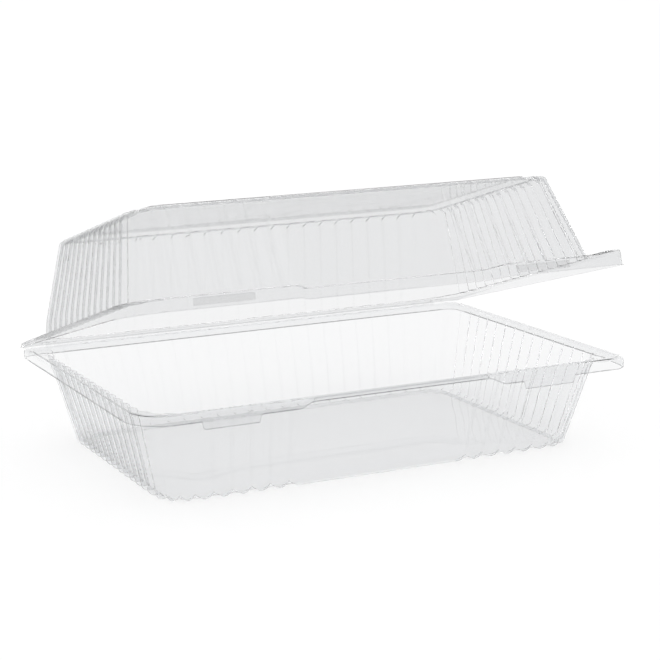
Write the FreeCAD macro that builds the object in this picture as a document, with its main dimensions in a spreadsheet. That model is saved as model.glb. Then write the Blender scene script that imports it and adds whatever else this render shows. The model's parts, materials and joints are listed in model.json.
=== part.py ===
"""A clear hinged pack for food: a fluted tray and a fluted lid, each one thin moulding.

Frame: millimetres, +Z up, origin at the middle of the tray's foot, hinge along X at the back,
front towards -Y. The lid is modelled ajar, as the pack stands.
"""
import FreeCAD
import Part
import math
import os

SIZES = {
    # The rim that the two halves share
    "rim_length": 340.0,
    "rim_width": 232.0,
    "rim_corner": 9.0,
    "round_rim_corner": 26.0,
    "wall": 0.5,
    "side_flange": 9.0,
    "front_flange": 5.0,
    "rim_gap": 0.3,
    "hinge_gap": 0.4,
    # The tray
    "tray_height": 60.5,
    "lip_drop": 5.0,
    "foot_length": 294.0,
    "foot_width": 187.0,
    "foot_corner": 22.0,
    "bead_inset": 2.0,
    "bead_clearance": 0.5,
    "bead_width": 2.4,
    "bead_height": 1.2,
    "bead_slope": 0.4,
    # The lid, up from the tray's rim
    "lid_height": 66.5,
    "skirt_height": 8.5,
    "skirt_edge": 1.0,
    "end_overhang": 2.5,
    "front_overhang": 1.0,
    "top_length": 298.0,
    "top_width": 179.0,
    "top_corner": 22.0,
    "crown_rise": 2.6,
    "crown_moat": 3.0,
    "crown_slope": 3.0,
    "hinge_leaf": 6.0,
    "ajar_angle": 15.1,
    # The flutes and the pressed panels, alike on both halves
    "mouth_corner": 29.0,
    "groove_depth": 3.1,
    "end_groove_depth": 5.0,
    "shoulder_height": 5.0,
    "shoulder_inset": 4.3,
    "panel_ring": 4.1,
    "panel_depth": 3.0,
    "panel_slope": 1.0,
    "long_flutes": 20,
    "plain_flutes": 10,
    "side_flutes": 13,
    "corner_flutes": 3,
    # The finger notch in the tray's lip, the lid's lowered front and the latches
    "notch_left": -58.0,
    "notch_right": 68.0,
    "notch_slope": 7.0,
    "front_step": 2.3,
    "latch_place": 110.0,
    "latch_length": 38.0,
    "latch_drop": 5.2,
    "latch_depth": 4.0,
    "latch_recess": 1.2,
    "latch_margin": 2.0,
}

# A tool body reaches this far past the face that it cuts through.
OVERSHOOT = 1.0
# An edge is upright when its direction has more height in it than this
MOSTLY_UPRIGHT = 0.5
# A flute is never deeper than this share of its own width.
DEEPEST_SHARE = 0.4

doc = FreeCAD.newDocument("clamshell_pack")
sheet = doc.addObject("Spreadsheet::Sheet", "sizes")
for row, (alias, value) in enumerate(SIZES.items(), start=1):
    sheet.set(f"A{row}", alias)
    sheet.set(f"B{row}", str(value))
    sheet.setAlias(f"B{row}", alias)
doc.recompute()


def size(alias):
    """One size from the sheet, as a number."""
    return float(sheet.get(alias))


def count(alias):
    """One count from the sheet."""
    return int(round(size(alias)))


# Outlines at one height

def arc(start, middle, end, height):
    """An arc through three points at one height."""
    return Part.Arc(*(FreeCAD.Vector(x, y, height) for x, y in (start, middle, end))).toShape()


def line(start, end, height):
    """A straight edge between two points at one height."""
    return Part.makeLine(FreeCAD.Vector(*start, height), FreeCAD.Vector(*end, height))


def rounded_ring(half_length, half_width, corner, height, front_left=None):
    """A closed wire round a rectangle with round corners, the front left one of its own radius if given."""
    corners = []
    for side_x, side_y in ((1, -1), (1, 1), (-1, 1), (-1, -1)):
        if front_left and side_x < 0 and side_y < 0:
            corner = front_left
        slant = corner * (1 - math.sqrt(0.5))
        x, y = side_x * half_length, side_y * half_width
        beside = (x - side_x * corner, y)
        along = (x, y - side_y * corner)
        middle = (x - side_x * slant, y - side_y * slant)
        ends = (beside, along) if side_x * side_y < 0 else (along, beside)
        corners.append((ends[0], middle, ends[1]))
    edges = []
    for index, (start, middle, end) in enumerate(corners):
        edges.append(arc(start, middle, end, height))
        edges.append(line(end, corners[(index + 1) % len(corners)][0], height))
    return Part.Wire(edges)


def groove_points(half_length, half_width, corner, depth):
    """The points of the grooves between flutes, from the left end of the front round by the right.

    They lie at the groove's depth inside the rounded rectangle that the flutes' crests touch.
    """
    sides = (
        (0, -1, half_width, half_length - corner, count("long_flutes")),
        (1, 0, half_length, half_width - corner, count("side_flutes")),
        (0, 1, half_width, half_length - corner, count("long_flutes")),
        (-1, 0, half_length, half_width - corner, count("side_flutes")),
    )
    points = []
    for out_x, out_y, reach, half_run, flutes in sides:
        for step in range(flutes + 1):
            shift = half_run * (2 * step / flutes - 1)
            points.append((out_x * (reach - depth) - out_y * shift, out_y * (reach - depth) + out_x * shift))
        middle_x = out_x * (reach - corner) - out_y * half_run
        middle_y = out_y * (reach - corner) + out_x * half_run
        for step in range(1, count("corner_flutes")):
            angle = math.atan2(out_y, out_x) + math.pi / 2 * step / count("corner_flutes")
            radius = corner - depth
            points.append((middle_x + radius * math.cos(angle), middle_y + radius * math.sin(angle)))
    return points


def plain_stretch(start, beside, end, depth, height):
    """Half a flute, a straight run at the crests' line and half a flute, from start to end along X."""
    pitch = beside[0] - start[0]
    bulge = min(depth, DEEPEST_SHARE * pitch)
    radius = (pitch * pitch / 4 + bulge * bulge) / (2 * bulge)
    crest_y = start[1] - bulge
    left_x, right_x = start[0] + pitch / 2, end[0] - pitch / 2
    quarter = math.asin(pitch / 2 / radius) / 2
    aside, back = radius * math.sin(quarter), radius * (1 - math.cos(quarter))
    return [
        arc(start, (left_x - aside, crest_y + back), (left_x, crest_y), height),
        line((left_x, crest_y), (right_x, crest_y), height),
        arc((right_x, crest_y), (right_x + aside, crest_y + back), end, height),
    ]


def fluted_ring(half_length, half_width, corner, depth, height):
    """A closed wire of flutes at one height, with one plain stretch in the middle of the front."""
    points = groove_points(half_length, half_width, corner, depth)
    first = (count("long_flutes") - count("plain_flutes")) // 2
    last = first + count("plain_flutes")
    edges = []
    for index, start in enumerate(points):
        end = points[(index + 1) % len(points)]
        if index == first:
            edges.extend(plain_stretch(start, end, points[last], depth, height))
        if first <= index < last:
            continue
        chord = math.dist(start, end)
        bulge = min(depth, DEEPEST_SHARE * chord)
        crest = (
            (start[0] + end[0]) / 2 + bulge * (end[1] - start[1]) / chord,
            (start[1] + end[1]) / 2 + bulge * (start[0] - end[0]) / chord,
        )
        edges.append(arc(start, crest, end, height))
    return Part.Wire(edges)


# Solids inside the walls

def rounded_block(length, width, corner, low, high, slope=0.0, front_left=None):
    """A block with round upright corners, smaller by the slope on every side at its high end."""
    front_left = front_left or corner
    return Part.makeLoft(
        [
            rounded_ring(length / 2, width / 2, corner, low, front_left),
            rounded_ring(length / 2 - slope, width / 2 - slope, corner - slope, high, front_left - slope),
        ],
        True,
        True,
    )


def panel_sizes(form, inward):
    """Length, width and corner of the panel that is pressed into a half's far face."""
    shrink = size("shoulder_inset") + size("panel_ring") - inward
    length, width, corner = form
    return length - 2 * shrink, width - 2 * shrink, corner - shrink


def fluted_form(mouth, shoulder, mouth_height, far_height, inward):
    """The space inside a half's fluted wall, with every face moved in by inward.

    mouth and shoulder give length, width and corner of the crests' line. At the shoulder the
    flutes turn in over the far face, their grooves deepen, and a panel is pressed into that face.
    """
    back = 1 if mouth_height > far_height else -1

    def ring(form, shrink, depth, height):
        length, width, corner = form
        return fluted_ring(length / 2 - shrink, width / 2 - shrink, corner - shrink, depth, height)

    far_end = far_height + back * inward
    walls = Part.makeLoft(
        [
            ring(mouth, inward, size("groove_depth"), mouth_height),
            ring(shoulder, inward, size("groove_depth"), far_height + back * size("shoulder_height")),
            ring(shoulder, inward + size("shoulder_inset"), size("end_groove_depth"), far_end),
        ],
        True,
        True,
    )
    panel = rounded_block(
        *panel_sizes(shoulder, inward),
        far_height - back * OVERSHOOT,
        far_height + back * (size("panel_depth") + inward),
        size("panel_slope"),
    )
    return walls.cut(panel)


def crown(inward):
    """The raised middle of the lid's top, inside the pressed ring."""
    top = size("tray_height") + size("lid_height")
    length, width, corner = panel_sizes(lid_shoulder, 0.0)
    shrink = size("crown_moat") + size("panel_slope") + inward
    return rounded_block(
        length - 2 * shrink,
        width - 2 * shrink,
        corner - shrink,
        top - size("panel_depth") - OVERSHOOT - inward,
        top + size("crown_rise") - inward,
        size("crown_slope"),
    )


def bead(inward):
    """The snap ridge round the tray's rim, open along the hinge, with its faces moved in by inward."""
    outer = size("bead_inset") + inward
    inner = outer + size("bead_width") - 2 * inward
    low, high = size("tray_height") - inward, size("tray_height") + size("bead_height") - inward
    slope = size("bead_slope")
    length, width = size("rim_length"), size("rim_width")
    corner, round_corner = size("rim_corner"), size("round_rim_corner")
    ridge, core = (
        rounded_block(
            length - 2 * inset, width - 2 * inset, corner - inset, low, high, draft, round_corner - inset
        )
        for inset, draft in ((outer, slope), (inner, -slope))
    )
    end_y = width / 2 - size("hinge_leaf") - corner - size("bead_clearance") - inward
    behind = Part.makeBox(length, width, high, FreeCAD.Vector(-length / 2, end_y, 0))
    return ridge.cut(core).cut(behind)


def front_cutter(near_y, far_y, narrow_height, wide_height, grow):
    """A cutter across the middle of the front, with sloping ends, grown sideways by grow."""
    half_slope = size("notch_slope") / 2
    left, right = size("notch_left") - grow, size("notch_right") + grow
    corners = [
        (left - half_slope, wide_height),
        (left + half_slope, narrow_height),
        (right - half_slope, narrow_height),
        (right + half_slope, wide_height),
    ]
    points = [FreeCAD.Vector(x, near_y, z) for x, z in corners + corners[:1]]
    return Part.Face(Part.makePolygon(points)).extrude(FreeCAD.Vector(0, far_y - near_y, 0))


# Document objects

def feature(name, shape):
    """A document object that holds a shape made by the functions above."""
    made = doc.addObject("Part::Feature", name)
    made.Shape = shape
    return made


def box(name, **sizes):
    """A box bound to the sheet: x, y and z are its low corner, the rest are its sizes."""
    made = doc.addObject("Part::Box", name)
    targets = {"x": "Placement.Base.x", "y": "Placement.Base.y", "z": "Placement.Base.z"}
    for key, expression in sizes.items():
        made.setExpression(targets.get(key, key), expression)
    return made


def rounded_box(name, inset, **sizes):
    """A box bound to the sheet, its upright edges rounded to run that far inside the rim's corners."""
    base = box(name + "_blank", **sizes)
    doc.recompute()
    made = doc.addObject("Part::Fillet", name)
    made.Base = base
    rounded = []
    for index, edge in enumerate(base.Shape.Edges, start=1):
        if abs(edge.tangentAt(edge.FirstParameter).z) > MOSTLY_UPRIGHT:
            at_front_left = edge.CenterOfMass.x < 0 and edge.CenterOfMass.y < 0
            radius = size("round_rim_corner" if at_front_left else "rim_corner") - inset
            rounded.append((index, radius, radius))
    made.Edges = rounded
    return made


def fuse(name, *parts):
    """All the parts joined into one."""
    made = doc.addObject("Part::MultiFuse", name)
    made.Shapes = list(parts)
    return made


def cut(name, base, tool):
    """The base less the tool."""
    made = doc.addObject("Part::Cut", name)
    made.Base, made.Tool = base, tool
    return made


mouth = (
    size("rim_length") - 2 * size("side_flange"),
    size("rim_width") - 2 * size("front_flange"),
    size("mouth_corner"),
)
tray_shoulder = (size("foot_length"), size("foot_width"), size("foot_corner"))
lid_shoulder = (size("top_length"), size("top_width"), size("top_corner"))
tray_rim = size("tray_height")
wall = size("wall")
front = -size("rim_width") / 2
lid_front = front - size("front_overhang")

# The tray: a flat rim with a turned-down lip round a fluted well
rim_plate = rounded_box(
    "tray_rim_plate",
    0.0,
    Length="sizes.rim_length",
    Width="sizes.rim_width",
    Height="sizes.lip_drop",
    x="-sizes.rim_length / 2",
    y="-sizes.rim_width / 2",
    z="sizes.tray_height - sizes.lip_drop",
)
rim_under = rounded_box(
    "tray_rim_under",
    wall,
    Length="sizes.rim_length - 2 * sizes.wall",
    Width="sizes.rim_width - 2 * sizes.wall",
    Height="sizes.lip_drop",
    x="sizes.wall - sizes.rim_length / 2",
    y="sizes.wall - sizes.rim_width / 2",
    z="sizes.tray_height - sizes.lip_drop - sizes.wall",
)
rim_skin = cut("tray_rim_skin", rim_plate, rim_under)
notch_end = tray_rim - size("lip_drop") - OVERSHOOT
finger_notch = feature(
    "finger_notch",
    front_cutter(front - OVERSHOOT, front + 2 * wall, tray_rim - wall, notch_end, 0.0),
)

lugs, lug_hollows = [], []
for side, sign in (("left", "-"), ("right", "")):
    lugs.append(
        box(
            f"latch_lug_{side}",
            Length="sizes.latch_length",
            Width="sizes.latch_depth",
            Height="sizes.lip_drop + sizes.latch_drop - sizes.wall",
            x=f"{sign}sizes.latch_place - sizes.latch_length / 2",
            y="-sizes.rim_width / 2",
            z="sizes.tray_height - sizes.lip_drop - sizes.latch_drop",
        )
    )
    lug_hollows.append(
        box(
            f"latch_lug_hollow_{side}",
            Length="sizes.latch_length - 2 * sizes.wall",
            Width="sizes.latch_depth",
            Height="sizes.lip_drop + sizes.latch_drop - 2 * sizes.wall",
            x=f"{sign}sizes.latch_place - sizes.latch_length / 2 + sizes.wall",
            y="sizes.wall - sizes.rim_width / 2",
            z="sizes.tray_height - sizes.lip_drop - sizes.latch_drop",
        )
    )

tray_lip = cut(
    "tray_lip",
    fuse("tray_lip_form", rim_skin, *lugs),
    fuse("tray_lip_cuts", finger_notch, *lug_hollows),
)
tray_form = fuse(
    "tray_form",
    tray_lip,
    feature("tray_outside", fluted_form(mouth, tray_shoulder, tray_rim, 0.0, 0.0)),
    feature("tray_bead", bead(0.0)),
)
tray_space = fuse(
    "tray_space",
    feature("tray_inside", fluted_form(mouth, tray_shoulder, tray_rim, 0.0, wall)),
    feature("tray_bead_inside", bead(wall)),
)
tray = cut("tray", tray_form, tray_space)

# The lid: a skirt that stands on the tray's rim, under a taller fluted dome
skirt_low = tray_rim + size("rim_gap")
skirt_top = skirt_low + size("skirt_height")
edge_plate = rounded_box(
    "lid_edge_plate",
    0.0,
    Length="sizes.rim_length + 2 * sizes.end_overhang",
    Width="sizes.rim_width + sizes.front_overhang - sizes.hinge_gap",
    Height="sizes.wall",
    x="-sizes.rim_length / 2 - sizes.end_overhang",
    y="-sizes.rim_width / 2 - sizes.front_overhang",
    z="sizes.tray_height + sizes.rim_gap",
)
skirt = rounded_box(
    "lid_skirt",
    size("skirt_edge"),
    Length="sizes.rim_length + 2 * sizes.end_overhang - 2 * sizes.skirt_edge",
    Width="sizes.rim_width + sizes.front_overhang - sizes.skirt_edge - sizes.hinge_leaf",
    Height="sizes.skirt_height",
    x="sizes.skirt_edge - sizes.end_overhang - sizes.rim_length / 2",
    y="sizes.skirt_edge - sizes.front_overhang - sizes.rim_width / 2",
    z="sizes.tray_height + sizes.rim_gap",
)
skirt_inside = rounded_box(
    "lid_skirt_inside",
    size("skirt_edge") + wall,
    Length="sizes.rim_length + 2 * sizes.end_overhang - 2 * sizes.skirt_edge - 2 * sizes.wall",
    Width="sizes.rim_width + sizes.front_overhang - sizes.skirt_edge - sizes.hinge_leaf - 2 * sizes.wall",
    Height="sizes.skirt_height",
    x="sizes.skirt_edge + sizes.wall - sizes.end_overhang - sizes.rim_length / 2",
    y="sizes.skirt_edge + sizes.wall - sizes.front_overhang - sizes.rim_width / 2",
    z="sizes.tray_height + sizes.rim_gap - sizes.wall",
)


def lid_dents(suffix, grow):
    """The lowered front and the two latch dents, grown by a wall for the inside."""
    step_low = skirt_top - size("front_step") - grow
    step_back = front + size("front_flange") + grow
    step_form = front_cutter(lid_front - OVERSHOOT, step_back, step_low, skirt_top + OVERSHOOT, grow)
    dents = [feature("lid_step" + suffix, step_form)]
    for side, sign in (("left", "-"), ("right", "")):
        dents.append(
            box(
                f"latch_dent_{side}{suffix}",
                Length=f"sizes.latch_length + 2 * {grow}",
                Width=f"2 * sizes.skirt_edge + sizes.latch_recess + {grow}",
                Height=f"sizes.skirt_height - 2 * sizes.latch_margin + 2 * {grow}",
                x=f"{sign}sizes.latch_place - sizes.latch_length / 2 - {grow}",
                y="-sizes.rim_width / 2 - sizes.front_overhang - sizes.skirt_edge",
                z=f"sizes.tray_height + sizes.rim_gap + sizes.latch_margin - {grow}",
            )
        )
    return fuse("lid_dents" + suffix, *dents)


lid_top = tray_rim + size("lid_height")
lid_form = cut(
    "lid_form",
    fuse(
        "lid_outside",
        edge_plate,
        skirt,
        feature("lid_dome", fluted_form(mouth, lid_shoulder, skirt_top, lid_top, 0.0)),
        feature("lid_crown", crown(0.0)),
    ),
    lid_dents("", 0.0),
)
lid_space = cut(
    "lid_space",
    fuse(
        "lid_inside",
        skirt_inside,
        feature("lid_dome_inside", fluted_form(mouth, lid_shoulder, skirt_top - wall, lid_top, wall)),
        feature("lid_crown_inside", crown(wall)),
    ),
    lid_dents("_inside", wall),
)
closed_lid = cut("closed_lid", lid_form, lid_space)
doc.recompute()

# The hinge line lies between the two rims, just behind both
hinge_point = FreeCAD.Vector(0, size("rim_width") / 2, tray_rim + size("rim_gap") / 2)
lid = feature("lid", closed_lid.Shape)
lid.Placement = FreeCAD.Placement(
    FreeCAD.Vector(), FreeCAD.Rotation(FreeCAD.Vector(-1, 0, 0), size("ajar_angle")), hinge_point
)

tray.Label = "base_tray"
lid.Label = "hinged_lid"
doc.recompute()

for made in doc.Objects:
    if {"Invalid", "Error"} & set(made.State):
        raise RuntimeError(f"{made.Name} did not build: {made.State}")

os.makedirs("parts", exist_ok=True)
for piece in (tray, lid):
    shape = piece.Shape
    if shape.isNull() or not shape.isValid():
        raise RuntimeError(f"{piece.Label} has no valid shape")
    print(piece.Label, "solids", len(shape.Solids), "volume", round(shape.Volume), "box", shape.BoundBox)
    shape.exportStep(f"parts/{piece.Label}.step")
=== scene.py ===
"""The looks of a clear hinged food pack: two thin fluted shells, their film hinge and a white studio."""
import json
import logging
import math
from dataclasses import dataclass, field
from enum import Enum
from typing import Callable

import bmesh
import bpy
from mathutils import Matrix, Vector


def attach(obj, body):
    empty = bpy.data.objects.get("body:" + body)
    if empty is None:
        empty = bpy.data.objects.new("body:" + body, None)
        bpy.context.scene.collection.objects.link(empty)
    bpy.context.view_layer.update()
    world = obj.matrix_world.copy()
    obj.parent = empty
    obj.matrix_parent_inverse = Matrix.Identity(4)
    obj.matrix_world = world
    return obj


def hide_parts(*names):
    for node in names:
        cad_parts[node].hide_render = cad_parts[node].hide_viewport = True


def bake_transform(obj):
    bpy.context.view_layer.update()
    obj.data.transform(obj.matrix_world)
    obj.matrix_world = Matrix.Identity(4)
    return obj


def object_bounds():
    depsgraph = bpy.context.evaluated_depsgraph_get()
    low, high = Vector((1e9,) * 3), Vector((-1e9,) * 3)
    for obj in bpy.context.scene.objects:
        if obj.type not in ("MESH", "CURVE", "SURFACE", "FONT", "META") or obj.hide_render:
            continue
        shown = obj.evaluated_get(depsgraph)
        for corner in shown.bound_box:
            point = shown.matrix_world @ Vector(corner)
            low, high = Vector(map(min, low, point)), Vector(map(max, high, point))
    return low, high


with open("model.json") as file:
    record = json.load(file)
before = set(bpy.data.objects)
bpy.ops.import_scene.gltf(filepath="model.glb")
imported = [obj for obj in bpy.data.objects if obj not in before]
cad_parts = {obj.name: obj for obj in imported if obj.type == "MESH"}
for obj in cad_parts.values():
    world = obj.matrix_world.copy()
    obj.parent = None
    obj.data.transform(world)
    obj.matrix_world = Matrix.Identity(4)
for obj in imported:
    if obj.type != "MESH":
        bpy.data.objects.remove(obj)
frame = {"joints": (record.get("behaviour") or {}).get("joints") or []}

CAD_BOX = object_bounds()
LOG = logging.getLogger("food_pack")
# The shapes below are given in millimetres, and this brings them to the frame's metres.
METRES = 0.001
# What one wall of each film lets through, seen straight on. The lid's tint is the film's own grey made darker
# than the tray's as painted shade, though both halves are one sheet. The next tint is painted shade in the
# lid's latch recesses and along its cut edge, and the last is painted shade along the tray's cut edge.
LID_TINT_WITH_PAINTED_SHADE = (0.878, 0.881, 0.885, 1.0)
LID_RECESS_AND_EDGE_SHADE_TINT = (0.76, 0.763, 0.767, 1.0)
TRAY_CUT_EDGE_SHADE_TINT = (0.6, 0.603, 0.607, 1.0)

Points = list[Vector]


class Side(Enum):
    """The four sides of a half, as outward directions, in the order that a ring runs."""

    FRONT = (0, -1)
    RIGHT = (1, 0)
    BACK = (0, 1)
    LEFT = (-1, 0)


def ease(value: float, low: float, high: float) -> float:
    """A smooth step from 0 at low to 1 at high."""
    share = min(max((value - low) / (high - low), 0.0), 1.0)
    return share * share * (3 - 2 * share)


def mix(start: float, end: float, share: float) -> float:
    """The value at a share of the way from start to end."""
    return start + (end - start) * share


@dataclass(frozen=True)
class Stretch:
    """A run along the front, with a smooth slope at either end."""

    left: float
    right: float
    left_slope: float = 1.6
    right_slope: float = 1.6

    def share(self, x: float) -> float:
        """1 on the stretch, 0 off it, and between the two on its slopes."""
        rise = ease(x, self.left - self.left_slope / 2, self.left + self.left_slope / 2)
        fall = ease(x, self.right - self.right_slope / 2, self.right + self.right_slope / 2)
        return rise * (1 - fall)


@dataclass(frozen=True)
class Form:
    """A rounded rectangle: the line that the flutes' crests touch, or the edge of a rim."""

    half_length: float
    front: float
    back: float
    corner: float
    front_left: float = 0.0

    def inset(self, distance: float) -> "Form":
        """The same form with every side moved in by a distance."""
        return Form(
            self.half_length - distance,
            self.front + distance,
            self.back - distance,
            self.corner - distance,
            self.front_left - distance if self.front_left else 0.0,
        )

    def towards(self, other: "Form", share: float) -> "Form":
        """The form at a share of the way to another one."""
        return Form(
            mix(self.half_length, other.half_length, share),
            mix(self.front, other.front, share),
            mix(self.back, other.back, share),
            mix(self.corner, other.corner, share),
        )

    def hit(self, start: Vector, along: Vector) -> Vector:
        """Where a line from inside meets the form.

        Args:
            start: a point inside, without height.
            along: the line's direction, of length 1.

        Returns:
            The point on the form.
        """
        reaches = []
        if along.x:
            reaches.append((math.copysign(self.half_length, along.x) - start.x) / along.x)
        if along.y:
            reaches.append(((self.back if along.y > 0 else self.front) - start.y) / along.y)
        place = start + along * min(reach for reach in reaches if reach > 0)
        at_front_left = place.x < 0 and place.y < 0 and self.front_left
        radius = self.front_left if at_front_left else self.corner
        middle = Vector(
            (
                math.copysign(self.half_length - radius, place.x),
                self.back - radius if place.y > 0 else self.front + radius,
                0.0,
            )
        )
        if abs(place.x) <= abs(middle.x) or (place.y - middle.y) * middle.y <= 0:
            return place
        offset = start - middle
        half = offset.dot(along)
        left = max(half * half - offset.dot(offset) + radius * radius, 0.0)
        return start + along * (math.sqrt(left) - half)


@dataclass(frozen=True)
class FlutePlan:
    """The flutes round a half, with the middle of the front left plain."""

    long_side: int = 20
    short_side: int = 13
    corner: int = 3
    plain: int = 10
    points_each: int = 10
    deepest_share: float = 0.4
    # 1 gives arches that meet in sharp grooves, 2 an even wave
    wall_roundness: float = 1.6
    end_roundness: float = 0.9
    # How much of a flute's width at either end of the plain stretch still curves
    plain_margin: float = 0.5

    def grooves(self, form: Form, depth: float) -> Points:
        """The points between the flutes, at the grooves' depth inside the form.

        Args:
            form: the line that the crests touch.
            depth: the grooves' depth.

        Returns:
            The points without height, from the left end of the front round by the right.
        """
        middle_y = (form.front + form.back) / 2
        half_width = (form.back - form.front) / 2
        found = []
        for side in Side:
            out = Vector((*side.value, 0.0))
            along = Vector((-out.y, out.x, 0.0))
            across = side in (Side.FRONT, Side.BACK)
            reach, run = (half_width, form.half_length) if across else (form.half_length, half_width)
            run -= form.corner
            flutes = self.long_side if across else self.short_side
            for step in range(flutes + 1):
                found.append(out * (reach - depth) + along * run * (2 * step / flutes - 1))
            for step in range(1, self.corner):
                turn = math.pi / 2 * step / self.corner
                spoke = out * math.cos(turn) + along * math.sin(turn)
                found.append(out * (reach - form.corner) + along * run + spoke * (form.corner - depth))
        return [place + Vector((0.0, middle_y, 0.0)) for place in found]

    def swell(self, index: int, step: float, at_wall: float) -> float:
        """How far the wall stands out of the grooves' line, as a share of a flute's depth.

        Args:
            index: the flute's number.
            step: the share of the flute's width.
            at_wall: 1 on the walls, 0 at the flutes' ends.

        Returns:
            1 on a crest and on the plain stretch, 0 in a groove.
        """
        place = index + step - (self.long_side - self.plain) / 2
        if self.plain_margin <= place <= self.plain - self.plain_margin:
            return 1.0
        return math.sin(math.pi * step) ** mix(self.end_roundness, self.wall_roundness, at_wall)

    def ring(
        self, form: Form, height: float, inward: float = 0.0, upward: float = 0.0, at_wall: float = 0.0
    ) -> Points:
        """A closed line of flutes round a half.

        Args:
            form: the line that the crests touch.
            height: the crests' height.
            inward: how far in the grooves lie.
            upward: how far above the crests the grooves lie.
            at_wall: 1 on the walls, 0 at the flutes' ends.

        Returns:
            The line's points.
        """
        grooves = self.grooves(form, inward)
        places = []
        for index, start in enumerate(grooves):
            end = grooves[(index + 1) % len(grooves)]
            across = end - start
            outward = Vector((across.y, -across.x, 0.0)).normalized()
            reach = min(inward, self.deepest_share * across.length)
            for point in range(self.points_each):
                step = point / self.points_each
                swell = self.swell(index, step, at_wall)
                lift = Vector((0.0, 0.0, height + upward * (1 - swell)))
                places.append(start + across * step + outward * reach * swell + lift)
        return places


@dataclass(frozen=True)
class Spokes:
    """Straight lines that lead a half's flutes out across its flange, one for each point of a ring."""

    lines: tuple[tuple[Vector, Vector], ...]

    @staticmethod
    def from_mouth(ring: Points, form: Form) -> "Spokes":
        """The lines from the mouth's points.

        Args:
            ring: the mouth's points.
            form: the line that its crests touch.

        Returns:
            The lines, each from the nearest point of the rectangle between the corners' centres.
        """
        lines = []
        for place in ring:
            core = Vector(
                (
                    min(max(place.x, form.corner - form.half_length), form.half_length - form.corner),
                    min(max(place.y, form.front + form.corner), form.back - form.corner),
                    0.0,
                )
            )
            lines.append((core, (Vector((place.x, place.y, 0.0)) - core).normalized()))
        return Spokes(tuple(lines))

    def ring(self, form: Form, height: Callable[[Vector], float]) -> Points:
        """The lines' points on a form, each at the height that a function gives it."""
        places = [form.hit(start, along) for start, along in self.lines]
        return [place + Vector((0.0, 0.0, height(place))) for place in places]


class Socket:
    """A shader value that Python's operators work on by adding Math nodes."""

    def __init__(self, tree: bpy.types.NodeTree, link: bpy.types.NodeSocket) -> None:
        """Keeps the tree and the socket that the value comes from."""
        self.tree = tree
        self.link = link

    def _math(self, operation: str, *values: "Socket | float") -> "Socket":
        """Adds one Math node.

        Args:
            operation: the node's operation.
            values: its inputs, in order.

        Returns:
            The node's output.
        """
        made = self.tree.nodes.new("ShaderNodeMath")
        made.operation = operation
        for place, value in enumerate(values):
            if isinstance(value, Socket):
                self.tree.links.new(value.link, made.inputs[place])
            else:
                made.inputs[place].default_value = value
        return Socket(self.tree, made.outputs[0])

    def __add__(self, other: "Socket | float") -> "Socket":
        """The sum."""
        return self._math("ADD", self, other)

    __radd__ = __add__

    def __mul__(self, other: "Socket | float") -> "Socket":
        """The product."""
        return self._math("MULTIPLY", self, other)

    __rmul__ = __mul__

    def __pow__(self, other: float) -> "Socket":
        """The power."""
        return self._math("POWER", self, other)

    def at_most(self, other: float) -> "Socket":
        """The smaller of the two."""
        return self._math("MINIMUM", self, other)


class Shader:
    """A material's node tree, with one method that adds any node."""

    def __init__(self, tree: bpy.types.NodeTree, output: str) -> None:
        """Empties the tree and gives it an output of the named kind."""
        self.tree = tree
        self.tree.nodes.clear()
        self.output = self.tree.nodes.new(output)

    def node(
        self,
        kind: str,
        settings: dict[str, object] | None = None,
        inputs: dict[str | int, object] | None = None,
    ) -> bpy.types.Node:
        """Adds a node.

        Args:
            kind: the node's type.
            settings: the node's own settings, set first.
            inputs: values or links for its sockets, by name or number.

        Returns:
            The node.
        """
        made = self.tree.nodes.new(kind)
        for key, value in (settings or {}).items():
            setattr(made, key, value)
        for key, value in (inputs or {}).items():
            link = value.link if isinstance(value, Socket) else value
            if isinstance(link, bpy.types.NodeSocket):
                self.tree.links.new(link, made.inputs[key])
            else:
                made.inputs[key].default_value = link
        return made

    def value(self, node: bpy.types.Node, output: str | int = 0) -> Socket:
        """One output of a node as a value."""
        return Socket(self.tree, node.outputs[output])

    def finish(self, node: bpy.types.Node) -> None:
        """Links a node's first output to the tree's surface."""
        self.tree.links.new(node.outputs[0], self.output.inputs["Surface"])


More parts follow.
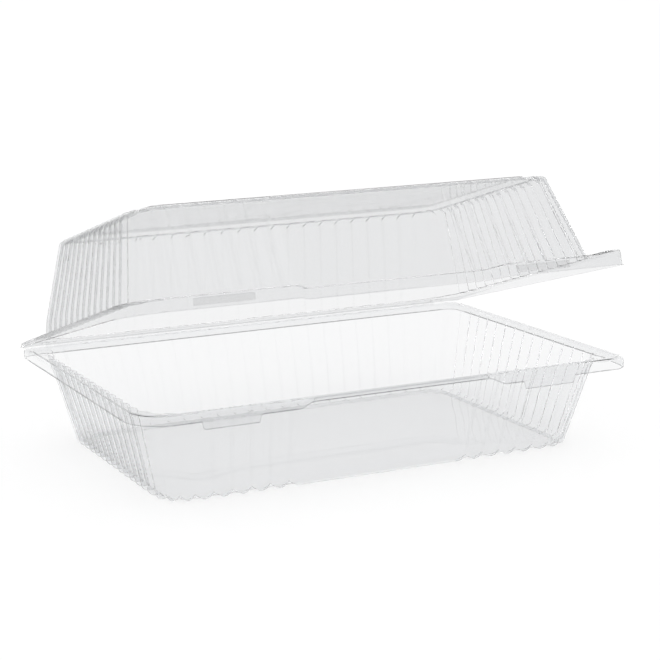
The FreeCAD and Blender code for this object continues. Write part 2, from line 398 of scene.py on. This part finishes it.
@dataclass(frozen=True)
class ClearFilm:
    """Clear, glossy, thermoformed film, faintly uneven, and darker where it is seen along its face.

    Its refraction is far below the real plastic's. A stronger one fills the thin curved sheet with dark lines
    that the photograph doesn't show.
    """

    name: str = "clear_film"
    face_tint: tuple[float, ...] = (0.923, 0.926, 0.93, 1.0)
    edge_tint: tuple[float, ...] = (0.16, 0.165, 0.17, 1.0)
    shadow_tint: tuple[float, ...] = (0.99, 0.99, 0.99, 1.0)
    edge_power: float = 14.0
    refraction: float = 1.04
    gloss: float = 0.35
    gloss_roughness: float = 0.01
    haze: float = 0.03
    wave_scale: float = 34.0
    wave_height: float = 0.0002
    wave_detail: float = 1.0
    facing_blend: float = 0.5

    def build(self) -> bpy.types.Material:
        """Makes the film's material, patterned on Object coordinates."""
        material = bpy.data.materials.new(self.name)
        material.use_nodes = True
        shader = Shader(material.node_tree, "ShaderNodeOutputMaterial")
        place = shader.node("ShaderNodeTexCoord").outputs["Object"]
        noise = {"Vector": place, "Scale": self.wave_scale, "Detail": self.wave_detail}
        waves = shader.value(shader.node("ShaderNodeTexNoise", None, noise))
        weight = shader.node("ShaderNodeLayerWeight", None, {"Blend": self.facing_blend})
        facing = shader.value(weight, "Facing")
        colour = shader.node(
            "ShaderNodeMix",
            {"data_type": "RGBA"},
            {0: facing ** self.edge_power, 6: self.face_tint, 7: self.edge_tint},
        )
        bump = shader.node("ShaderNodeBump", None, {"Distance": self.wave_height, "Height": waves})
        film = shader.node(
            "ShaderNodeBsdfPrincipled",
            None,
            {
                "Base Color": colour.outputs[2],
                "Roughness": self.gloss_roughness + waves * self.haze,
                "Normal": bump.outputs["Normal"],
                "IOR": self.refraction,
                "Transmission Weight": 1.0,
                "Coat Weight": self.gloss,
                "Coat Roughness": self.gloss_roughness,
            },
        )
        shadow = shader.node("ShaderNodeLightPath").outputs["Is Shadow Ray"]
        lit = shader.node("ShaderNodeBsdfTransparent", None, {"Color": self.shadow_tint})
        shader.finish(
            shader.node("ShaderNodeMixShader", None, {0: shadow, 1: film.outputs[0], 2: lit.outputs[0]})
        )
        return material


def seen_share(shader: Shader) -> Socket:
    """1 where a camera, glossy or transmitted ray meets the surface, 0 for the rays that carry its light.

    A ray through clear film counts as both glossy and transmitted, so the sum is held at 1.
    """
    path = shader.node("ShaderNodeLightPath")
    seen = shader.value(path, "Is Camera Ray") + shader.value(path, "Is Glossy Ray")
    return (seen + shader.value(path, "Is Transmission Ray")).at_most(1.0)


def deselect_all() -> None:
    """Leaves nothing selected."""
    bpy.ops.object.select_all(action="DESELECT")


def apply_modifier(piece: bpy.types.Object, kind: str, **settings: object) -> None:
    """Adds one modifier to a piece and applies it.

    Args:
        piece: the piece, which becomes the active object.
        kind: the modifier's type.
        settings: the modifier's settings.
    """
    deselect_all()
    piece.select_set(True)
    bpy.context.view_layer.objects.active = piece
    made = piece.modifiers.new(kind.lower(), kind)
    for key, value in settings.items():
        setattr(made, key, value)
    bpy.ops.object.modifier_apply(modifier=made.name)


def drawn_sheet(name: str, rings: list[Points], outside_below: bool) -> bpy.types.Object:
    """Draws a sheet out of a circle, extruding its edge from one ring of points to the next.

    Args:
        name: the piece's name.
        rings: the rings' points, from the middle of the far face outwards.
        outside_below: whether the face that stays outside looks down, as a tray's does.

    Returns:
        The sheet, without thickness, at its place in the frame.
    """
    deselect_all()
    bpy.ops.mesh.primitive_circle_add(vertices=len(rings[0]), radius=rings[0][0].length * METRES)
    piece = bpy.context.object
    piece.name = piece.data.name = name
    bpy.ops.object.mode_set(mode="EDIT")
    bpy.ops.mesh.select_all(action="SELECT")
    move_selected(piece, rings[0])
    bpy.ops.mesh.edge_face_add()
    for ring in rings[1:]:
        bpy.ops.mesh.extrude_edges_move()
        move_selected(piece, ring)
    bpy.ops.mesh.select_all(action="SELECT")
    if outside_below:
        bpy.ops.mesh.flip_normals()
    bpy.ops.object.mode_set(mode="OBJECT")
    return piece


def move_selected(piece: bpy.types.Object, places: Points) -> None:
    """Moves the selected vertices of a piece in edit mode to new places, in their order."""
    mesh = bmesh.from_edit_mesh(piece.data)
    for vertex, place in zip([vertex for vertex in mesh.verts if vertex.select], places):
        vertex.co = place * METRES
    bmesh.update_edit_mesh(piece.data)


def paint_shade(piece: bpy.types.Object, chosen: Callable[[bpy.types.MeshPolygon], bool]) -> None:
    """Gives the chosen faces of a sheet its second material, a darker film that paints shade on them.

    Args:
        piece: the sheet, before it has a thickness.
        chosen: tells whether a face is one of them.
    """
    for face in piece.data.polygons:
        if chosen(face):
            face.material_index = 1


def finish_piece(
    piece: bpy.types.Object, wall: float, finishes: list[bpy.types.Material], crease: float
) -> None:
    """Gives a sheet its thickness, its smooth shading and its materials.

    Args:
        piece: the sheet.
        wall: its thickness.
        finishes: its materials, last the darker one that paints shade.
        crease: the angle in degrees up to which it is shaded smooth.
    """
    for finish in finishes:
        piece.data.materials.append(finish)
    apply_modifier(
        piece,
        "SOLIDIFY",
        thickness=wall * METRES,
        offset=-1.0,
        use_even_offset=True,
    )
    deselect_all()
    piece.select_set(True)
    bpy.context.view_layer.objects.active = piece
    bpy.ops.object.shade_smooth_by_angle(angle=math.radians(crease))


@dataclass
class Shell:
    """What the pack's two halves share: a far face with its pressed panel, fluted walls and a mouth."""

    rim: float
    wall: float = 0.45
    crease: float = 38.0
    plan: FlutePlan = field(default_factory=FlutePlan)
    groove_depth: float = 3.1
    mouth: Form = Form(161.0, -111.0, 111.0, 29.0)
    # The turn from the far face into the walls, and the flutes' roundness there and up the wall from it
    bend: float = 4.5
    bend_roundness: float = 0.3
    roundness_gain: float = 1.4
    bend_turns: tuple[float, ...] = (0.0, 18.0, 36.0, 54.0, 72.0, 90.0)
    # Across the far face the grooves run out: how far in, and at what share of their depth
    run_out: tuple[tuple[float, float], ...] = ((8.4, 0.0), (7.4, 0.25), (6.4, 0.6), (5.4, 0.88))
    wall_shares: tuple[float, ...] = (0.12, 0.3, 0.5, 0.7, 0.88)
    # The turn at the mouth: how far out and how far down the wall
    mouth_turn: tuple[tuple[float, float], ...] = ((0.0, 0.6), (0.15, 0.15), (0.6, 0.0))

    def far_rings(self, far: Form, height: float, up: int) -> list[Points]:
        """The rings from the panel's outer edge over the bend to the foot of the walls.

        Args:
            far: the line that the crests touch at the far face.
            height: the far face's height.
            up: 1 if the walls rise from the far face, -1 if they hang from it.

        Returns:
            The rings.
        """
        rings = []
        for inset, share in self.run_out:
            rings.append(self.plan.ring(far.inset(inset), height, 0.0, up * share * self.groove_depth))
        for turn in self.bend_turns:
            sine, cosine = math.sin(math.radians(turn)), math.cos(math.radians(turn))
            rings.append(
                self.plan.ring(
                    far.inset(self.bend * (1 - sine)),
                    height + up * self.bend * (1 - cosine),
                    sine * self.groove_depth,
                    up * cosine * self.groove_depth,
                    self.bend_roundness * sine,
                )
            )
        return rings

    def wall_rings(self, far: Form, far_height: float, mouth_height: float, up: int) -> list[Points]:
        """The rings up the walls, from just past the bend to the turn at the mouth.

        Args:
            far: the line that the crests touch at the far face.
            far_height: the far face's height.
            mouth_height: the mouth's height.
            up: 1 if the walls rise from the far face, -1 if they hang from it.

        Returns:
            The rings.
        """
        start = far_height + up * self.bend
        end = mouth_height - up * self.mouth_turn[0][1]
        rings = [
            self.plan.ring(
                far.towards(self.mouth, share),
                mix(start, end, share),
                self.groove_depth,
                at_wall=min(1.0, self.bend_roundness + self.roundness_gain * share),
            )
            for share in self.wall_shares
        ]
        for out, down in self.mouth_turn:
            height = mouth_height - up * down
            rings.append(self.plan.ring(self.mouth.inset(-out), height, self.groove_depth, at_wall=1.0))
        return rings

    def panel_rings(self, outline: Form, profile: tuple[tuple[float, float], ...]) -> list[Points]:
        """Plain rings inside the flutes' ends.

        Args:
            outline: the form that the profile's insets start from.
            profile: pairs of inset and height, from the middle outwards.

        Returns:
            The rings.
        """
        return [self.plan.ring(outline.inset(inset), height) for inset, height in profile]

    def middle_rings(
        self, outline: Form, height: float, rise: float, shares: tuple[float, ...]
    ) -> list[Points]:
        """Rings that cover the panel's middle with a low dome.

        Args:
            outline: the panel's edge.
            height: the edge's height.
            rise: how much higher the middle is.
            shares: the rings' sizes as shares of the edge's.

        Returns:
            The rings.
        """
        edge = self.plan.ring(outline, 0.0)
        rings = []
        for share in shares:
            lift = Vector((0.0, 0.0, height + rise * (1 - share * share)))
            rings.append([place * share + lift for place in edge])
        return rings

    def last_band(self, rings: list[Points]) -> Callable[[bpy.types.MeshPolygon], bool]:
        """Tells which faces lie between a sheet's last two rings, at its cut edge."""
        first = len(rings[0]) * (len(rings) - 2)
        return lambda face: min(face.vertices) >= first


@dataclass
class TrayShell(Shell):
    """The tray: a pressed-up floor, fluted walls, a flange with a snap bead, a lip and two lugs."""

    foot: Form = Form(147.0, -93.5, 93.5, 22.0)
    edge: Form = Form(170.0, -116.0, 116.0, 9.0, 26.0)
    panel_height: float = 3.0
    floor_rise: float = 1.2
    floor_shares: tuple[float, ...] = (0.08, 0.3, 0.55, 0.8)
    floor_edge: tuple[tuple[float, float], ...] = ((10.6, 3.0), (10.1, 2.85), (9.5, 0.3), (9.0, 0.0))
    # The snap bead: insets from the flange's edge and heights
    bead: tuple[tuple[float, float], ...] = (
        (4.4, 0.0),
        (4.2, 0.55),
        (3.85, 1.0),
        (3.2, 1.2),
        (2.55, 1.0),
        (2.2, 0.55),
        (2.0, 0.0),
    )
    bead_end: float = 100.5
    bead_slope: float = 1.0
    # The flange's raised plateaus over the latches
    plateau_left: Stretch = Stretch(-126.5, -91.0, 3.0, 3.0)
    plateau_right: Stretch = Stretch(91.0, 131.0, 3.0, 3.0)
    plateau_height: float = 0.8
    # The lip's turn and its depth along the front
    lip_turn: tuple[tuple[float, float], ...] = ((0.55, 0.0), (0.15, 0.15), (0.0, 0.55))
    lip_rows: tuple[float, ...] = (0.5, 1.0)
    lip_drop: float = 4.6
    lip_drop_left: float = 4.4
    lip_drop_right: float = 5.8
    lip_drop_back: float = 4.8
    lip_drop_notch: float = 0.9
    notch: Stretch = Stretch(-61.0, 71.5, 9.5, 14.5)
    lug_left: Stretch = Stretch(-128.5, -91.5, 1.6, 1.6)
    lug_right: Stretch = Stretch(91.5, 128.5, 1.6, 1.6)
    lug_drop: float = 4.8
    lug_inset: float = 0.7
    lug_fold: float = 0.25
    # The rows below the lip: the share of the way down, and the cut edge's width below that
    cut_band: float = 0.45
    lug_rows: tuple[tuple[float, float], ...] = ((0.0, 0.0), (0.5, 0.0), (1.0, 0.0), (1.0, cut_band))

    def flange_height(self, place: Vector) -> float:
        """The flange's lower side at a place, with the plateaus at the front."""
        level = self.rim - self.wall
        if place.y > self.mouth.front + self.mouth.corner:
            return level
        plateaus = self.plateau_left.share(place.x) + self.plateau_right.share(place.x)
        return level + self.plateau_height * plateaus

    def bead_height(self, place: Vector, height: float) -> float:
        """The bead's lower side at a place: it is open along the hinge."""
        rise = height * (1 - ease(place.y, self.bead_end - self.bead_slope, self.bead_end + self.bead_slope))
        return max(self.flange_height(place), self.rim - self.wall + rise)

    def drop(self, place: Vector) -> float:
        """How far down the lip reaches at a place."""
        if place.y > 0:
            return mix(self.lip_drop, self.lip_drop_back, ease(place.y, 0.0, self.edge.back))
        front = 1 - ease(place.y, self.edge.front, self.edge.front + self.edge.front_left)
        level = mix(self.lip_drop_left, self.lip_drop_right, ease(place.x, self.notch.left, self.notch.right))
        along = mix(level, self.lip_drop_notch, self.notch.share(place.x))
        return mix(self.lip_drop, along, front)

    def lug(self, place: Vector) -> float:
        """1 on a latch lug, 0 elsewhere."""
        if place.y > self.edge.front + self.edge.corner:
            return 0.0
        return self.lug_left.share(place.x) + self.lug_right.share(place.x)

    def build(self, finishes: list[bpy.types.Material]) -> bpy.types.Object:
        """Makes the tray in place of its solid.

        Args:
            finishes: the film's materials, last the darker one that paints shade along the cut edge.

        Returns:
            The tray.
        """
        panel = self.foot.inset(self.floor_edge[0][0])
        rings = self.middle_rings(panel, self.panel_height, self.floor_rise, self.floor_shares)
        rings += self.panel_rings(self.foot, self.floor_edge)
        rings += self.far_rings(self.foot, 0.0, 1)
        rings += self.wall_rings(self.foot, 0.0, self.rim - self.wall, 1)
        spokes = Spokes.from_mouth(rings[-1], self.mouth)
        edge = self.edge.inset(self.wall)
        for inset, height in self.bead:
            form = edge.inset(inset - self.wall)
            rings.append(spokes.ring(form, lambda place: self.bead_height(place, height)))
        for inset, down in self.lip_turn:
            rings.append(spokes.ring(edge.inset(inset), lambda place: self.flange_height(place) - down))
        start = self.lip_turn[-1][1] + self.wall
        for share in self.lip_rows:
            rings.append(spokes.ring(edge, lambda place: self.rim - mix(start, self.drop(place), share)))
        inner = edge.inset(self.lug_inset)
        for reach, cut in self.lug_rows:
            rings.append(spokes.ring(inner, lambda place: self.lug_height(place, reach) - cut))
        piece = drawn_sheet("clear_tray", rings, True)
        # Painted shade: a darker film on the cut edge's band.
        paint_shade(piece, self.last_band(rings))
        finish_piece(piece, self.wall, finishes, self.crease)
        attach(piece, "base")
        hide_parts("base_tray")
        return piece

    def lug_height(self, place: Vector, reach: float) -> float:
        """The height at a share of the way down the lip's folded edge and the lugs under it."""
        below = self.lug_fold + self.lug_drop * self.lug(place)
        return self.rim - self.drop(place) - self.lug_fold - reach * below


@dataclass
class LidShell(Shell):
    """The lid: a raised top inside a pressed ring, fluted walls, and a skirt with two latch recesses.

    It is drawn closed and then swung open about the hinge by the angle at which the pack stands.
    """

    hinge: Vector = field(default_factory=Vector)
    open_angle: float = 0.0
    height: float = 66.5
    gap: float = 0.3
    top: Form = Form(149.0, -89.5, 89.5, 22.0)
    crown_shares: tuple[float, ...] = (0.08, 0.35, 0.65, 0.9)
    # The crown and the pressed ring: insets from the top's line and heights below or above the top face
    crown_edge: tuple[tuple[float, float], ...] = (
        (17.5, 1.8),
        (16.4, 1.65),
        (12.8, -0.9),
        (11.8, -1.2),
        (10.4, -1.2),
        (9.8, -1.0),
        (9.0, -0.15),
        (8.6, 0.0),
    )
    skirt_height: float = 8.5
    skirt_back_height: float = 3.0
    skirt: Form = Form(171.5, -116.7, 112.6, 6.0, 25.0)
    edge: Form = Form(172.4, -117.5, 114.6, 6.5, 26.0)
    skirt_turn: tuple[tuple[float, float], ...] = ((0.9, 0.0), (0.35, 0.25), (0.1, 0.9))
    # The lowered front
    step: Stretch = Stretch(-58.0, 77.0, 7.0, 22.0)
    step_drop: float = 2.3
    edge_drop: float = 1.2
    brim_rows: tuple[tuple[Form, float], ...] = ((skirt, 0.7), (skirt.inset(-0.3), 0.42), (edge, 0.4))
    # The latch recesses: how far up the skirt, as a share of its height, and how far in
    recess_left: Stretch = Stretch(-129.0, -91.0, 1.2, 1.2)
    recess_right: Stretch = Stretch(91.0, 129.0, 1.2, 1.2)
    recess_rows: tuple[tuple[float, float], ...] = ((0.78, 0.0), (0.72, 1.0), (0.33, 1.0), (0.27, 0.0))
    recess_depth: float = 1.1
    # The raised corner at the front right
    raised_from: float = 153.0
    raised_full: float = 158.0
    raised_height: float = 1.6

    def front_share(self, place: Vector) -> float:
        """1 along the front flange, 0 away from it."""
        return 1 - ease(place.y, self.mouth.front, self.mouth.front + self.skirt_height)

    def ledge(self, place: Vector) -> float:
        """How far the ledge and the foot of the wall are moved up at a place."""
        lowered = -self.step_drop * self.step.share(place.x)
        raised = self.raised_height * ease(place.x, self.raised_from, self.raised_full)
        along = (place.y - self.mouth.front) / (self.mouth.back - self.mouth.front)
        taper = (self.skirt_back_height - self.skirt_height) * min(max(along, 0.0), 1.0)
        return (lowered + raised) * self.front_share(place) + taper

    def brim(self, place: Vector) -> float:
        """How far the skirt's lower edge is moved up at a place."""
        return -self.edge_drop * self.step.share(place.x) * self.front_share(place)

    def swing(self, place: Vector) -> Vector:
        """A point of the closed lid, moved to where it stands on the open one."""
        turned = Matrix.Rotation(-self.open_angle, 3, "X") @ (place - self.hinge)
        return turned + self.hinge

    def recessed(self, place: Vector, share: float) -> Vector:
        """A point of the skirt, moved in where a latch recess has it."""
        if place.y > self.skirt.front + self.skirt.corner:
            return place
        inside = self.recess_left.share(place.x) + self.recess_right.share(place.x)
        return place + Vector((0.0, self.recess_depth * share * inside, 0.0))

    def recess_face(self, centre: Vector) -> bool:
        """Whether a face's centre, in metres, lies in a latch recess."""
        place = Matrix.Rotation(self.open_angle, 3, "X") @ (centre / METRES - self.hinge) + self.hinge
        share = (place.z - self.rim - self.gap) / self.skirt_height
        inside = self.recess_left.share(place.x) + self.recess_right.share(place.x)
        at_front = place.y < self.skirt.front + self.skirt.corner
        return at_front and inside > 0.0 and self.recess_rows[-1][0] < share < self.recess_rows[0][0]

    def build(self, finishes: list[bpy.types.Material]) -> bpy.types.Object:
        """Makes the lid in place of its solid.

        Args:
            finishes: the film's materials, last the darker one that paints shade into the latch recesses and
                along the cut edge.

        Returns:
            The lid.
        """
        top = self.rim + self.height
        low = self.rim + self.gap
        ledge = low + self.skirt_height
        profile = tuple((inset, top + height) for inset, height in self.crown_edge)
        crown_inset, crown_height = profile[0]
        rings = self.middle_rings(self.top.inset(crown_inset), crown_height, 0.0, self.crown_shares)
        rings += self.panel_rings(self.top, profile)
        rings += self.far_rings(self.top, top, -1)
        walls = self.wall_rings(self.top, top, ledge, -1)
        turn = len(self.mouth_turn)
        rings += walls[:-turn]
        for ring in walls[-turn:]:
            rings.append([place + Vector((0.0, 0.0, self.ledge(place))) for place in ring])
        spokes = Spokes.from_mouth(walls[-1], self.mouth)
        for inset, down in self.skirt_turn:
            rings.append(spokes.ring(self.skirt.inset(inset), lambda place: ledge + self.ledge(place) - down))
        for up, share in self.recess_rows:
            ring = spokes.ring(self.skirt, lambda place: low + up * (self.skirt_height + self.ledge(place)))
            rings.append([self.recessed(place, share) for place in ring])
        for form, up in self.brim_rows:
            rings.append(spokes.ring(form, lambda place: low + up + self.brim(place)))
        rings = [[self.swing(place) for place in ring] for ring in rings]
        piece = drawn_sheet("clear_lid", rings, False)
        at_edge = self.last_band(rings)
        # Painted shade: a darker film on the cut edge's band and in the latch recesses.
        paint_shade(piece, lambda face: at_edge(face) or self.recess_face(face.center))
        finish_piece(piece, self.wall, finishes, self.crease)
        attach(piece, "lid")
        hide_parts("hinged_lid")
        return piece


@dataclass
class HingeFilm:
    """The living hinge: a bent strip of film with small pressed ribs, between the two rims' back edges."""

    hinge: Vector
    open_angle: float
    half_length: float = 152.0
    wall: float = 0.3
    reach: float = 1.2
    ribs: int = 24
    rib_height: float = 0.45
    rib_sharpness: int = 8
    columns: int = 480
    rows: int = 10
    spread: float = 0.9
    lean_share: float = 0.3
    crease: float = 60.0

    def place(self, along: float, around: float) -> Vector:
        """One point of the strip.

        Args:
            along: its share of the strip's length, from 0 to 1.
            around: its share of the bend, from the tray's edge to the lid's.

        Returns:
            The point.
        """
        turn = math.pi * (around - 0.5)
        rib = math.sin(math.pi * self.ribs * along) ** self.rib_sharpness
        reach = self.reach + self.rib_height * rib * math.cos(turn)
        lean = self.open_angle * around
        out = reach * math.cos(turn) - self.reach - self.rib_height - self.wall
        up = self.spread * math.sin(turn)
        y = out * math.cos(lean) + up * math.sin(lean) * self.lean_share
        z = up * math.cos(lean) - out * math.sin(lean)
        return self.hinge + Vector(((2 * along - 1) * self.half_length, y, z))

    def build(self, finish: bpy.types.Material) -> bpy.types.Object:
        """Makes the strip, bent between the two halves as the pack stands.

        Args:
            finish: the film's material.

        Returns:
            The strip.
        """
        deselect_all()
        bpy.ops.mesh.primitive_grid_add(x_subdivisions=self.columns, y_subdivisions=self.rows, size=1.0)
        piece = bpy.context.object
        piece.name = piece.data.name = "living_hinge"
        bpy.ops.object.mode_set(mode="EDIT")
        bpy.ops.mesh.select_all(action="SELECT")
        mesh = bmesh.from_edit_mesh(piece.data)
        for vertex in mesh.verts:
            vertex.co = self.place(vertex.co.x + 0.5, vertex.co.y + 0.5) * METRES
        bmesh.update_edit_mesh(piece.data)
        bpy.ops.object.mode_set(mode="OBJECT")
        finish_piece(piece, self.wall, [finish], self.crease)
        start, end = (self.hinge + Vector((0.0, 0.0, side * self.spread)) for side in (-1, 1))
        start * METRES
        end * METRES
        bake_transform(piece)
        return piece


@dataclass(frozen=True)
class PhotoCamera:
    """The camera at the photograph's place: millimetres, and degrees from straight ahead along Y."""

    x: float = -519.48
    y: float = -1110.73
    z: float = 329.11
    heading: float = -25.473
    pitch: float = 11.654
    roll: float = -0.994
    lens: float = 102.43
    sensor: float = 36.0
    nearest: float = 0.05
    furthest: float = 50.0

    def build(self) -> None:
        """Adds the camera and makes it the scene's."""
        deselect_all()
        bpy.ops.object.camera_add()
        camera = bpy.context.object
        camera.name = "photo_camera"
        camera.data.lens, camera.data.sensor_width = self.lens, self.sensor
        camera.data.clip_start, camera.data.clip_end = self.nearest, self.furthest
        heading, pitch, roll = (math.radians(angle) for angle in (self.heading, self.pitch, self.roll))
        turn = Matrix.Rotation(heading, 4, "Z") @ Matrix.Rotation(math.pi / 2 - pitch, 4, "X")
        turn = turn @ Matrix.Rotation(roll, 4, "Z")
        camera.matrix_world = Matrix.Translation(Vector((self.x, self.y, self.z)) * METRES) @ turn
        bpy.context.scene.camera = camera


@dataclass(frozen=True)
class SoftLamp:
    """A large square lamp that looks at the pack, in metres."""

    name: str
    place: tuple[float, float, float]
    side: float
    power: float

    def build(self, target: Vector) -> None:
        """Adds the lamp, turned to a point."""
        deselect_all()
        bpy.ops.object.light_add(type="AREA", location=self.place)
        lamp = bpy.context.object
        lamp.name = self.name
        lamp.data.shape, lamp.data.size, lamp.data.energy = "SQUARE", self.side, self.power
        lamp.rotation_euler = (target - Vector(self.place)).to_track_quat("-Z", "Y").to_euler()


@dataclass(frozen=True)
class Studio:
    """A white floor under soft light, with a white world all round."""

    floor_half: float = 12.0
    floor_colour: tuple[float, ...] = (0.35, 0.35, 0.35, 1.0)
    floor_glow: float = 0.66
    world_light: float = 1.0
    lamps: tuple[SoftLamp, ...] = (
        SoftLamp("top_softbox", (-0.8, -0.6, 2.4), 1.6, 4.0),
        SoftLamp("side_softbox", (2.2, -0.8, 1.4), 1.2, 2.0),
    )

    def build(self, target: Vector) -> None:
        """Adds the floor, the lamps and the world."""
        deselect_all()
        bpy.ops.mesh.primitive_plane_add(size=2 * self.floor_half)
        floor = bpy.context.object
        floor.name = floor.data.name = "studio_floor"
        floor.data.materials.append(self._floor_finish())
        for lamp in self.lamps:
            lamp.build(target)
        self._world()

    def _floor_finish(self) -> bpy.types.Material:
        """The floor's matt white, with a faint glow where it is seen, which leaves the pack's shadow."""
        material = bpy.data.materials.new("studio_white")
        material.use_nodes = True
        shader = Shader(material.node_tree, "ShaderNodeOutputMaterial")
        matt = shader.node("ShaderNodeBsdfDiffuse", None, {"Color": self.floor_colour})
        glow = shader.node("ShaderNodeEmission", None, {"Strength": seen_share(shader) * self.floor_glow})
        shader.finish(shader.node("ShaderNodeAddShader", None, {0: matt.outputs[0], 1: glow.outputs[0]}))
        return material

    def _world(self) -> None:
        """Even white all round, as a light and where it is seen."""
        world = bpy.data.worlds.new("studio_world")
        world.use_nodes = True
        bpy.context.scene.world = world
        shader = Shader(world.node_tree, "ShaderNodeOutputWorld")
        white = {"Color": (1.0, 1.0, 1.0, 1.0), "Strength": self.world_light}
        shader.finish(shader.node("ShaderNodeBackground", None, white))


def main() -> None:
    """Builds the studio, the camera and the pack, and reports each piece."""
    logging.basicConfig(level=logging.INFO, format="%(name)s: %(message)s")
    joint = frame["joints"][0]
    hinge = Vector(joint["pos_m"]) / METRES
    open_angle = math.radians(-joint["range_deg"][0])
    rim = hinge.z - LidShell.gap / 2
    PhotoCamera().build()
    Studio().build((CAD_BOX[0] + CAD_BOX[1]) / 2)
    tray_film = ClearFilm("tray_film").build()
    # The lid's film is the tray's film made darker as painted shade.
    lid_film_with_painted_shade = ClearFilm("lid_film_with_painted_shade", LID_TINT_WITH_PAINTED_SHADE).build()
    # Painted shade in the lid's latch recesses and along its cut edge.
    lid_recess_and_edge_shade = ClearFilm("lid_recess_and_edge_painted_shade", LID_RECESS_AND_EDGE_SHADE_TINT).build()
    # Painted shade along the tray's cut edge.
    tray_cut_edge_painted_shade = ClearFilm("tray_cut_edge_painted_shade", TRAY_CUT_EDGE_SHADE_TINT).build()
    pieces = [
        TrayShell(rim=rim).build([tray_film, tray_cut_edge_painted_shade]),
        LidShell(rim=rim, hinge=hinge, open_angle=open_angle).build([lid_film_with_painted_shade, lid_recess_and_edge_shade]),
        HingeFilm(hinge=hinge, open_angle=open_angle).build(tray_film),
    ]
    for piece in pieces:
        LOG.info("%s: %d faces", piece.name, len(piece.data.polygons))
    bpy.context.scene.view_settings.view_transform = "Standard"


if __name__ == "__main__":
    main()
